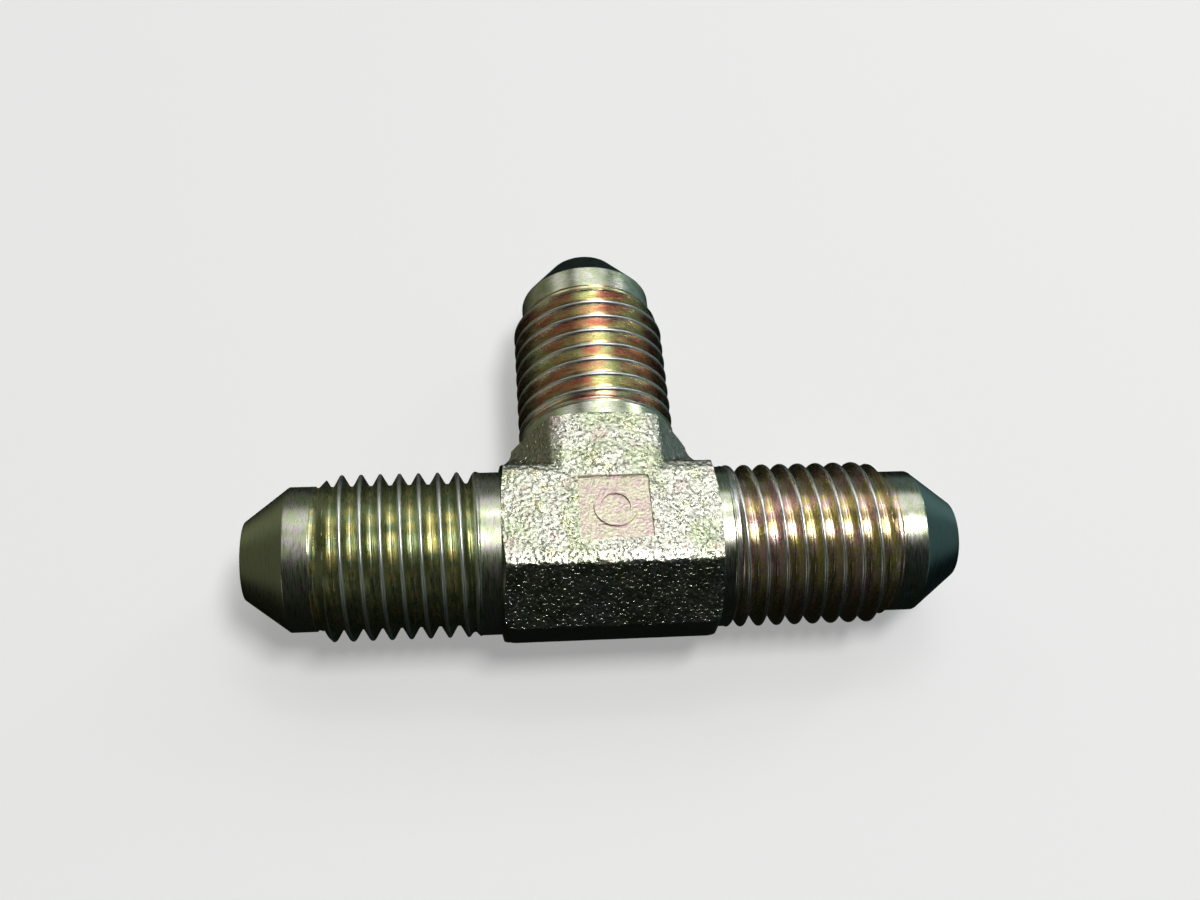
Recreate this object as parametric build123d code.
"""A 37 degree flare union tee with three male ends, forged in one piece.

The tee lies on its back.  The run goes along X, the branch points along +Y and
the face with the badge looks up along +Z.  The origin is the point where the
three bores meet.  All sizes are in millimetres.
"""

import os
from math import radians, tan

from build123d import *

# ---- the three ports ----
end_to_centre = 24.0            # centre of the tee to each flat nose
bore_diameter = 4.4             # drilled passage, the same from all three ends
bore_chamfer = 0.15             # broken edge where a bore leaves the nose

# ---- thread, 7/16-20 UNF, right hand ----
thread_diameter = 11.11
thread_pitch = 1.27             # 20 threads to the inch
thread_depth = 0.6134 * thread_pitch
crest_flat = thread_pitch / 8
flank_angle = 30.0              # half of the 60 degree V
run_shank = 1.4                 # turned shoulder to the run-out groove, on the run
branch_shank = 0.95             # the same on the branch
nose_length = 5.7               # end of the full thread to the flat nose
left_crest = 10.38              # flat nose back to one crest, on the badge side
right_crest = 10.28
branch_crest = 10.55

# ---- plain shank and nose ----
shank_diameter = 10.95          # between the forging and the thread
runout_floor = 0.30             # width of the floor of the run-out groove
lead_relief_depth = 0.04        # the relief behind the land is this far under the thread root
lead_relief_width = 0.25
land_diameter = 9.66            # plain nose between the thread and the cone
cone_angle = 37.0               # the sealing cone, from the axis of the port
nose_flat_diameter = 5.22
nose_edge_radius = 0.12         # where the cone meets the flat nose
land_edge_radius = 0.15         # where the cone meets the land

# ---- forging: an eight-sided section, the same on the run and the branch ----
forging_flats = 11.11           # front flat to back flat
front_flat_width = 7.0
forging_width = 12.4            # over the trimmed parting band
parting_band = 2.1              # height of the trimmed band
run_shoulder = 7.2              # centre of the tee to the turned shoulders of the run
branch_shoulder = 7.65          # the same on the branch
shoulder_lean = 0.25            # the turned shoulders lean back this much per unit of radius
flat_edge_radius = 0.8          # edges of the front and back flats
band_edge_radius = 0.2          # edges of the parting band
lower_corner_radius = 0.9       # run block corners, seen from the front, away from the branch
upper_corner_radius = 0.6       # and beside the branch

# ---- badge: a shallow square recess with a plain raised ring ----
badge_size = 4.7
badge_depth = 0.22
badge_centre = (0.25, 0.3)
badge_corner_radius = 0.15
ring_diameter = 2.9
ring_line = 0.5
ring_height = 0.14

flat_level = forging_flats / 2
tolerance = 0.001


def forged_section(plane):
    """Two flats, four drafted sides and the parting band, drawn on a plane."""
    flat = front_flat_width / 2
    wide = forging_width / 2
    band = parting_band / 2
    corners = [
        (flat, flat_level), (wide, band), (wide, -band), (flat, -flat_level),
        (-flat, -flat_level), (-wide, -band), (-wide, band), (-flat, flat_level),
    ]
    section = make_face(Polyline(*corners, close=True))
    rows = section.vertices().group_by(Axis.Y)
    section = fillet(rows[0] + rows[-1], flat_edge_radius)
    band_corners = section.vertices().filter_by(lambda v: abs(abs(v.Y) - band) < tolerance)
    return plane * fillet(band_corners, band_edge_radius)


def run_block():
    """The bar under the run, with its corners rounded as seen from the front."""
    bar = extrude(forged_section(Plane.YZ), amount=run_shoulder, both=True)
    outline = Rectangle(2 * run_shoulder, forging_width)
    outline = fillet(outline.vertices().group_by(Axis.Y)[0], lower_corner_radius)
    outline = fillet(outline.vertices().group_by(Axis.Y)[-1], upper_corner_radius)
    return bar & extrude(outline, amount=forging_flats, both=True)


def branch_neck():
    """The bar under the branch, from the centre of the tee to its shoulder."""
    across = Plane(origin=(0, 0, 0), x_dir=(1, 0, 0), z_dir=(0, 1, 0))
    return extrude(forged_section(across), amount=branch_shoulder, dir=(0, 1, 0))


def branch_side():
    """The space that is nearer to the branch than to either end of the run."""
    reach = 2 * end_to_centre
    corner = make_face(Polyline((0, 0), (reach, reach), (-reach, reach), close=True))
    return extrude(corner, amount=forging_flats, both=True)


def forged_body():
    """Run block and branch neck in one.

    Both have the same section, so they are cut on the same two mitre planes and meet there.
    """
    return (run_block() - branch_side()) + (branch_neck() & branch_side())


def badge_recess():
    """The square that is pressed into the front flat, around its raised ring."""
    square = fillet(Rectangle(badge_size, badge_size).vertices(), badge_corner_radius)
    floor = Pos(*badge_centre, flat_level - badge_depth)
    pocket = extrude(square, amount=2 * badge_depth)
    ring = Circle(ring_diameter / 2) - Circle(ring_diameter / 2 - ring_line)
    return floor * (pocket - extrude(ring, amount=ring_height))


def facing_cut(shoulder):
    """What the facing tool removes beyond a shoulder, for a port along +Z."""
    inner = shank_diameter / 2
    outer = forging_width
    lean = (outer - inner) * shoulder_lean
    corners = [
        (0, shoulder), (inner, shoulder), (outer, shoulder - lean),
        (outer, end_to_centre), (0, end_to_centre),
    ]
    return revolve(make_face(Plane.XZ * Polyline(*corners, close=True)), Axis.Z)


def nose_blank(thread_start):
    """Shank, thread blank, land and cone of a port along +Z, turned but not threaded.

    The run-out groove begins at thread_start, a distance from the centre of the tee.
    """
    thread_end = end_to_centre - nose_length
    shank = shank_diameter / 2
    major = thread_diameter / 2
    root = major - thread_depth
    relief = root - lead_relief_depth
    land = land_diameter / 2
    tip = nose_flat_diameter / 2
    cone_length = (land - tip) / tan(radians(cone_angle))
    wall = thread_depth * tan(radians(flank_angle))
    groove = thread_start + (shank - root)
    thread_begin = groove + runout_floor
    relief_begin = thread_end + (major - relief)
    land_begin = relief_begin + lead_relief_width
    outline = Polyline(
        (0, 0), (shank, 0), (shank, thread_start), (root, groove), (root, thread_begin),
        (major, thread_begin + wall), (major, thread_end), (relief, relief_begin), (relief, land_begin),
        (land, land_begin), (land, end_to_centre - cone_length), (tip, end_to_centre), (0, end_to_centre),
        close=True,
    )
    blank = revolve(make_face(Plane.XZ * outline), Axis.Z)
    rims = blank.edges().filter_by(GeomType.CIRCLE).group_by(Axis.Z)
    blank = blank.fillet(nose_edge_radius, rims[-1])
    rims = blank.edges().filter_by(GeomType.CIRCLE).filter_by(
        lambda rim: abs(rim.arc_center.Z - (end_to_centre - cone_length)) < tolerance
    )
    return blank.fillet(land_edge_radius, rims)


def thread_groove(thread_start, crest):
    """The helical V of a port along +Z, from the run-out groove to the relief.

    It leaves a crest at the given distance back from the nose, on the local +X side.
    """
    thread_end = end_to_centre - nose_length
    major = thread_diameter / 2
    root = major - thread_depth
    slope = tan(radians(flank_angle))
    half_root = (thread_pitch - crest_flat) / 2 - thread_depth * slope
    over = 0.25
    half_top = half_root + (thread_depth + over) * slope
    first_valley = thread_start + (shank_diameter / 2 - root) + runout_floor / 2
    last_valley = thread_end + thread_depth
    turns = (last_valley - first_valley) / thread_pitch
    valleys_to_crest = (end_to_centre - crest - first_valley) / thread_pitch - 0.5
    start_angle = -360 * valleys_to_crest
    section = Polyline(
        (root, first_valley - half_root), (major + over, first_valley - half_top),
        (major + over, first_valley + half_top), (root, first_valley + half_root),
        close=True,
    )
    path = Helix(thread_pitch, thread_pitch * turns, major, center=(0, 0, first_valley))
    groove = sweep(make_face(Plane.XZ * section), path=path, is_frenet=True)
    return Rot(0, 0, start_angle) * groove


def threaded_end(thread_start, crest):
    """One finished male end along +Z, solid down to the centre of the tee."""
    return nose_blank(thread_start) - thread_groove(thread_start, crest)


def bore_tool():
    """The drill for a port along +Z, with the cutter that breaks its edge."""
    drill = Cylinder(bore_diameter / 2, end_to_centre, align=(Align.CENTER, Align.CENTER, Align.MIN))
    edge = Cone(
        bore_diameter / 2, bore_diameter / 2 + bore_chamfer, bore_chamfer,
        align=(Align.CENTER, Align.CENTER, Align.MAX),
    )
    return drill + Pos(0, 0, end_to_centre) * edge


# each port: which way local +Z points, its shoulder, its shank, and the crest on the badge side
front = (0, 0, 1)
ports = [
    (Plane(origin=(0, 0, 0), x_dir=front, z_dir=(-1, 0, 0)), run_shoulder, run_shank, left_crest),
    (Plane(origin=(0, 0, 0), x_dir=front, z_dir=(1, 0, 0)), run_shoulder, run_shank, right_crest),
    (Plane(origin=(0, 0, 0), x_dir=front, z_dir=(0, 1, 0)), branch_shoulder, branch_shank, branch_crest),
]


def tee_body():
    """The forging, faced, threaded and drilled from its three ends."""
    body = forged_body() - badge_recess()
    for plane, shoulder, _, _ in ports:
        body = body - plane.location * facing_cut(shoulder)
    for plane, shoulder, shank, crest in ports:
        body = body + plane.location * threaded_end(shoulder + shank, crest)
    for plane, _, _, _ in ports:
        body = body - plane.location * bore_tool()
    return body


if __name__ == "__main__":
    os.makedirs("parts", exist_ok=True)
    tee = tee_body()
    export_step(tee, "parts/tee_body.step")
    print("tee_body", "valid", tee.is_valid, "volume", round(tee.volume, 1), "solids", len(tee.solids()))
